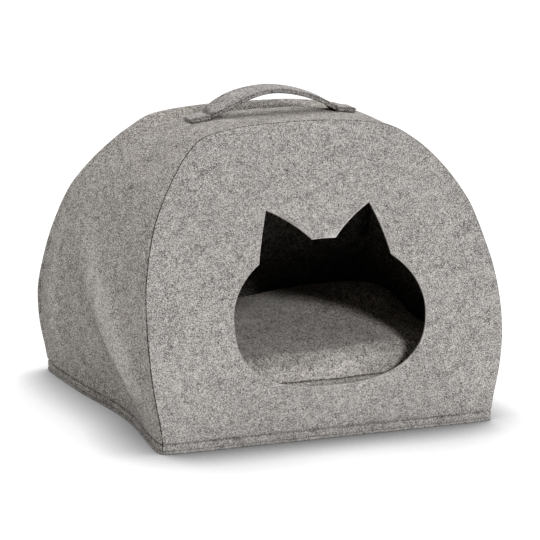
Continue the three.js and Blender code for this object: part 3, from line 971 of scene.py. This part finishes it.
def heatheredFelt(name, look):
    material, tree = emptyMaterial(name)
    if look["place"] == "Object":
        bare = addNode(tree, "TexCoord", {}).outputs["Object"]
    else:
        bare = addNode(tree, "Attribute", {}, attribute_name=look["place"]).outputs["Vector"]
    scaled = addNode(tree, "Mapping", {"Vector": bare, "Scale": look["along"]}, vector_type="TEXTURE")
    place = scaled.outputs["Vector"]
    flecks = []
    for lean in look["leans"]:
        leaned = addNode(tree, "Mapping", {
            "Vector": place, "Rotation": lean, "Scale": (1, 1, look["stretch"]), "Location": lean,
        }, vector_type="TEXTURE")
        fleck = addNode(tree, "TexNoise", {
            "Vector": leaned.outputs["Vector"], "Scale": 1 / (look["fleck"] * mm), "Detail": 1.0,
            "Roughness": 0.5, "Distortion": 0.4,
        })
        flecks.append(fleck.outputs["Fac"])
    two = addNode(tree, "Math", {0: flecks[0], 1: flecks[1]}, operation="ADD").outputs[0]
    three = addNode(tree, "Math", {0: two, 1: flecks[2]}, operation="ADD").outputs[0]
    tone = addNode(tree, "Math", {
        0: three, 1: look["fleckStrength"] / 3, 2: 0.5 - look["fleckStrength"] / 2,
    }, operation="MULTIPLY_ADD").outputs[0]
    for size, strength in look["clouds"]:
        cloud = addNode(tree, "TexNoise", {
            "Vector": place, "Scale": 1 / (size * mm), "Detail": 1.0, "Roughness": 0.6,
        }).outputs["Fac"]
        part = addNode(tree, "Math", {0: cloud, 1: strength, 2: -strength / 2}, operation="MULTIPLY_ADD")
        tone = addNode(tree, "Math", {0: tone, 1: part.outputs[0]}, operation="ADD").outputs[0]
    thin, thick = look["wispRange"]
    for lean in look["leans"][:2]:
        drawn = addNode(tree, "Mapping", {
            "Vector": place, "Rotation": lean, "Scale": (1, look["wispStretch"], 1), "Location": lean,
        }, vector_type="TEXTURE").outputs[0]
        tuft = addNode(tree, "TexNoise", {
            "Vector": drawn, "Scale": 1 / (look["wisp"] * mm), "Detail": 2.0, "Roughness": 0.6,
            "Distortion": 0.8,
        }).outputs["Fac"]
        dark = addNode(tree, "MapRange", {"Value": tuft, "From Min": thin, "From Max": thick, "To Max": 1.0})
        part = addNode(tree, "Math", {0: dark.outputs[0], 1: -look["wispStrength"]}, operation="MULTIPLY")
        tone = addNode(tree, "Math", {0: tone, 1: part.outputs[0]}, operation="ADD").outputs[0]
    # painted light and shade stored at the points lighten or darken the felt's tone
    paintedLightShade = addNode(tree, "Attribute", {}, attribute_name="paintedLightShade").outputs["Fac"]
    tone = addNode(tree, "Math", {
        0: paintedLightShade, 1: look["paintedLightShadeStrength"], 2: tone,
    }, operation="MULTIPLY_ADD").outputs[0]
    ramp = addNode(tree, "ValToRGB", {"Fac": tone})
    ramp.color_ramp.elements.new(0.5)
    for element, colour in zip(ramp.color_ramp.elements, look["colours"]):
        element.color = toLinear(colour)
    relief = addNode(tree, "Bump", {
        "Height": three, "Strength": look["relief"], "Distance": look["reliefDepth"] * mm,
    })
    shader = addNode(tree, "BsdfPrincipled", {
        "Base Color": ramp.outputs["Color"], "Roughness": 0.95, "IOR": 1.5, "Specular IOR Level": 0.15,
        "Sheen Weight": 0.12, "Sheen Roughness": 0.6, "Normal": relief.outputs["Normal"],
    })
    addNode(tree, "OutputMaterial", {"Surface": shader.outputs["BSDF"]})
    return material


spun = {"colours": ("#5e5a57", "#8b8783"), "twist": 0.6}


# spun polyester sewing thread, a shade darker than the felt, with a faint twist sheen
def spunThread():
    material, tree = emptyMaterial("spunPolyesterThread")
    place = addNode(tree, "TexCoord", {}).outputs["Object"]
    twist = addNode(tree, "TexNoise", {"Vector": place, "Scale": 1 / (spun["twist"] * mm), "Detail": 1.0})
    ramp = addNode(tree, "ValToRGB", {"Fac": twist.outputs["Fac"]})
    for element, colour in zip(ramp.color_ramp.elements, spun["colours"]):
        element.color = toLinear(colour)
    shader = addNode(tree, "BsdfPrincipled", {
        "Base Color": ramp.outputs["Color"], "Roughness": 0.6, "IOR": 1.5, "Specular IOR Level": 0.3,
    })
    addNode(tree, "OutputMaterial", {"Surface": shader.outputs["BSDF"]})
    return material


wallFelt = heatheredFelt("needledPolyesterFelt", heather)
bandFelt = heatheredFelt("needledBandFelt", bandHeather)
coverFelt = heatheredFelt("needledCushionFelt", coverHeather)
threadFinish = spunThread()

panelPieces = [
    (frontPanel, "front_panel", (0.387, 0.335), 0.0853, "stretched", ["base_panel"]),
    (archBand, "arch_band", (0.386, 0.866), 0.2263, "stretched", ["base_panel"]),
    (backPanel, "back_panel", (0.387, 0.340), 0.1187, "stretched", ["base_panel"]),
    (basePanel, "base_panel", (0.367, 0.384), 0.1375, "laid", []),
]
for piece, node, flat, area, held, restsOn in panelPieces:
    piece.data.materials.append(bandFelt if piece is archBand else wallFelt)
    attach(piece, "root")
    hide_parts(node)

handleStrap.data.materials.append(wallFelt)
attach(handleStrap, "root")
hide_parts("handle_strap")
for piece in (hemThread, handleThread):
    piece.data.materials.append(threadFinish)
    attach(piece, "root")

for piece in (cushionBody, cushionFlange):
    piece.data.materials.clear()
    piece.data.materials.append(coverFelt)
    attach(piece, "root")
    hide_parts("cushion")
print("materials on")

# a glowing white board in place of a lit floor, with painted shadow: its glow fades close to the hem and,
# further out, in front and on the left, since the wider shade is looked for in a leaning direction
stage = {
    "half": 12.0, "near": 0.06, "far": 0.14, "lean": (0.25, 0.74, 0.62), "samples": 8,
    "full": 0.82, "glow": 1.14,
}


def makeFloor():
    bm = bmesh.new()
    bmesh.ops.create_grid(bm, x_segments=4, y_segments=4, size=stage["half"])
    floor = finishMesh("floor", bm)
    material, tree = emptyMaterial("paleBoard")
    near = addNode(tree, "AmbientOcclusion", {"Distance": stage["near"]}, samples=stage["samples"])
    lean = addNode(tree, "CombineXYZ", dict(zip("XYZ", stage["lean"]))).outputs[0]
    far = addNode(tree, "AmbientOcclusion", {
        "Distance": stage["far"], "Normal": lean,
    }, samples=stage["samples"])
    both = addNode(tree, "Math", {0: near.outputs["AO"], 1: far.outputs["AO"]}, operation="MULTIPLY")
    glow = addNode(tree, "MapRange", {
        "Value": both.outputs[0], "From Max": stage["full"], "To Max": stage["glow"],
    })
    shader = addNode(tree, "Emission", {"Color": (1, 1, 1, 1), "Strength": glow.outputs[0]})
    addNode(tree, "OutputMaterial", {"Surface": shader.outputs["Emission"]})
    material.cycles.emission_sampling = "NONE"  # lights the felt as a bounce, not as a lamp
    floor.data.materials.append(material)


makeFloor()

# even light from all round, stronger from the board below
around = {"above": 0.2, "below": 0.68, "horizon": 0.25}
world = bpy.data.worlds.new("studio")
world.use_nodes = True
sky = world.node_tree
background = sky.nodes["Background"]
background.inputs["Color"].default_value = (1, 1, 1, 1)
direction = addNode(sky, "SeparateXYZ", {"Vector": addNode(sky, "TexCoord", {}).outputs["Generated"]})
strength = addNode(sky, "MapRange", {
    "Value": direction.outputs["Z"], "From Min": -around["horizon"], "From Max": around["horizon"],
    "To Min": around["below"], "To Max": around["above"],
})
sky.links.new(strength.outputs[0], background.inputs["Strength"])
scene.world = world

softSuns = {
    "front": {"place": (0.03, -0.902, 0.43), "strength": 1.55, "spread": 9},
    "frontSoft": {"place": (0.64, -0.76, 0.05), "strength": 1.06, "spread": 50},
    "left": {"place": (-0.86, 0.06, 0.5), "strength": 0.04, "spread": 50},
    "overhead": {"place": (0.0, 0.5, 0.86), "strength": 2.55, "spread": 60},
}
for name, sun in softSuns.items():
    light = bpy.data.lights.new(name, "SUN")
    light.energy = sun["strength"]
    light.angle = math.radians(sun["spread"])
    lamp = bpy.data.objects.new(name, light)
    lamp.rotation_euler = (-Vector(sun["place"])).to_track_quat("-Z", "Y").to_euler()
    scene.collection.objects.link(lamp)

# the photograph's view: 21.6 degrees from the left, 12.3 degrees down, a long lens
view = {
    "azimuth": -21.55, "elevation": 12.32, "distance": 3.218, "right": 0.0084, "up": 0.1323,
    "lens": 200, "sensor": 36,
}
azimuth, elevation = math.radians(view["azimuth"]), math.radians(view["elevation"])
level = math.cos(elevation)
back = Vector((math.sin(azimuth) * level, -math.cos(azimuth) * level, math.sin(elevation)))
right = Vector((math.cos(azimuth), math.sin(azimuth), 0))
up = back.cross(right)
place = back * view["distance"] + right * view["right"] + up * view["up"]
camera = bpy.data.objects.new("camera", bpy.data.cameras.new("camera"))
camera.data.lens = view["lens"]
camera.data.sensor_width = view["sensor"]
camera.matrix_world = Matrix.Translation(place) @ Matrix((right, up, back)).transposed().to_4x4()
scene.collection.objects.link(camera)
scene.camera = camera

# a camera's soft toe: the darkest tones close up
toePoints = [(0.012, 0.0035), (0.05, 0.037), (0.13, 0.125)]
scene.view_settings.view_transform = "Standard"
scene.view_settings.look = "None"
scene.view_settings.use_curve_mapping = True
toe = scene.view_settings.curve_mapping
for dark, shown in toePoints:
    toe.curves[3].points.new(dark, shown)
toe.update()
print("stage, light and view set")
